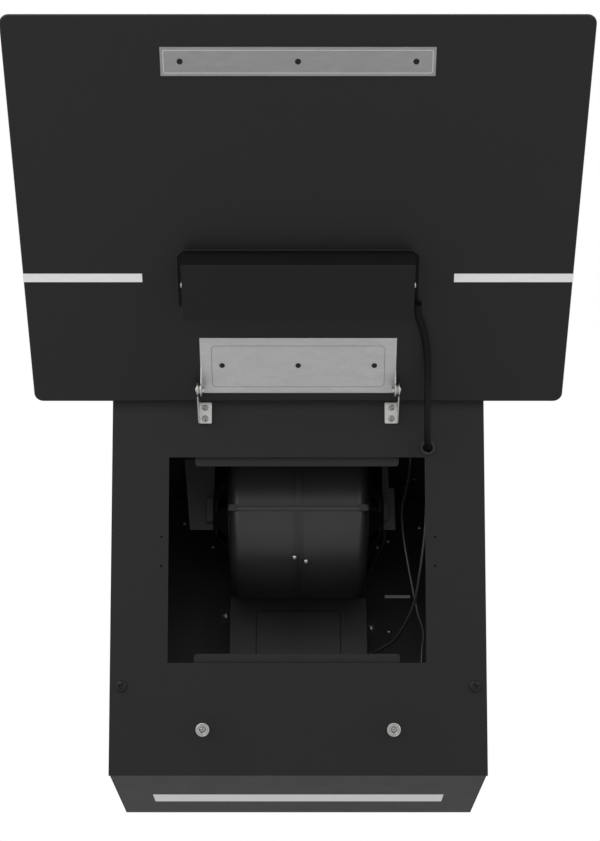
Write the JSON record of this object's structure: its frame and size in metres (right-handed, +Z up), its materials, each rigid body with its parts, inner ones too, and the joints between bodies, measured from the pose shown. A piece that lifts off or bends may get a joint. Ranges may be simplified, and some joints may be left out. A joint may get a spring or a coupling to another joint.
{
  "type": "wall-mounted range hood",
  "caption": "Angled wall hood with a leaning black casing, a glass front raised on two friction hinges, a centrifugal blower behind the filter opening, a lamp strip and a duct collar.",
  "frame": {"origin": "on the wall plane, at the middle of the casing's lower rear edge", "axes": "+X to the right as seen from the kitchen, +Y into the wall, +Z up"},
  "size_m": [0.6, 0.7146, 0.6424],
  "materials": {
    "black_steel": "powder-coated, fine matte texture",
    "zinc_steel": "zinc-plated, satin",
    "galvanised_sheet": "galvanised, dull",
    "black_plastic": "moulded, satin",
    "black_glass": "tempered, printed black on its back",
    "clear_stripe": "pale silver film",
    "lamp_lens": "frosted",
    "aluminium": "mill finish",
    "circuit_board": "solder-masked",
    "rubber": "moulded",
    "wire": "PVC insulation",
    "magnet": "nickel-plated",
    "pale_plastic": "moulded"
  },
  "bodies": {
    "casing": {"front_panel": "black_steel", "side_panel_left": "black_steel", "side_panel_right": "black_steel", "lower_panel": "black_steel", "back_plate": "black_steel", "slot_strip": "pale_plastic", "top_plate": "black_steel", "filter_rail_top": "black_steel", "filter_rail_low": "black_steel", "lamp_lens": "lamp_lens", "lamp_board": "circuit_board", "lamp_channel": "aluminium", "lamp_driver": "pale_plastic", "power_box": "black_steel", "power_cover": "black_steel", "power_board": "circuit_board", "power_screws": "zinc_steel", "mains_gland": "black_plastic", "scroll_upper": "black_plastic", "scroll_lower": "black_plastic", "scroll_clips": "black_plastic", "scroll_screws": "zinc_steel", "inlet_guard_left": "black_plastic", "inlet_guard_right": "black_plastic", "fan_motor": "galvanised_sheet", "hanger_left": "galvanised_sheet", "hanger_right": "galvanised_sheet", "motor_capacitor": "pale_plastic", "duct_collar": "black_plastic", "flap_rods": "zinc_steel", "motor_lead": "wire", "panel_lead": "wire", "lamp_lead": "wire", "lead_saddle": "black_plastic", "cable_grommet": "rubber", "catch_posts": "zinc_steel", "catch_magnets": "magnet", "catch_screws": "zinc_steel", "panel_screws": "black_steel", "hinge_arm_left": "zinc_steel", "hinge_arm_right": "zinc_steel", "arm_screws": "zinc_steel", "hinge_bolts": "zinc_steel", "hinge_washers": "pale_plastic", "hinge_nuts": "zinc_steel", "control_cable": "wire"},
    "glass_front": {"glass_panel": "black_glass", "glass_stripes": "clear_stripe", "hinge_plate": "galvanised_sheet", "catch_plate": "galvanised_sheet", "control_base": "black_steel", "control_cover": "black_steel", "control_board": "circuit_board", "control_screws": "zinc_steel", "cable_boot": "rubber"},
    "fan": {"fan_wheel": "black_plastic", "fan_shaft": "zinc_steel"},
    "flap_front": {"flap_front": "black_plastic"},
    "flap_rear": {"flap_rear": "black_plastic"}
  },
  "joints": [
    {"name": "glass_hinge", "type": "hinge", "parent": "casing", "child": "glass_front", "pos_m": [0, -0.371, 0.39339], "axis": [1, 0, 0], "range_deg": [0, 144], "deforming": ["control_cable"]},
    {"name": "fan_spin", "type": "hinge", "parent": "casing", "child": "fan", "pos_m": [0, -0.128, 0.34], "axis": [1, 0, 0], "continuous": true},
    {"name": "flap_front_swing", "type": "hinge", "parent": "casing", "child": "flap_front", "pos_m": [0, -0.132, 0.435], "axis": [-1, 0, 0], "range_deg": [0, 80]},
    {"name": "flap_rear_swing", "type": "hinge", "parent": "casing", "child": "flap_rear", "pos_m": [0, -0.124, 0.435], "axis": [1, 0, 0], "range_deg": [0, 80]}
  ]
}
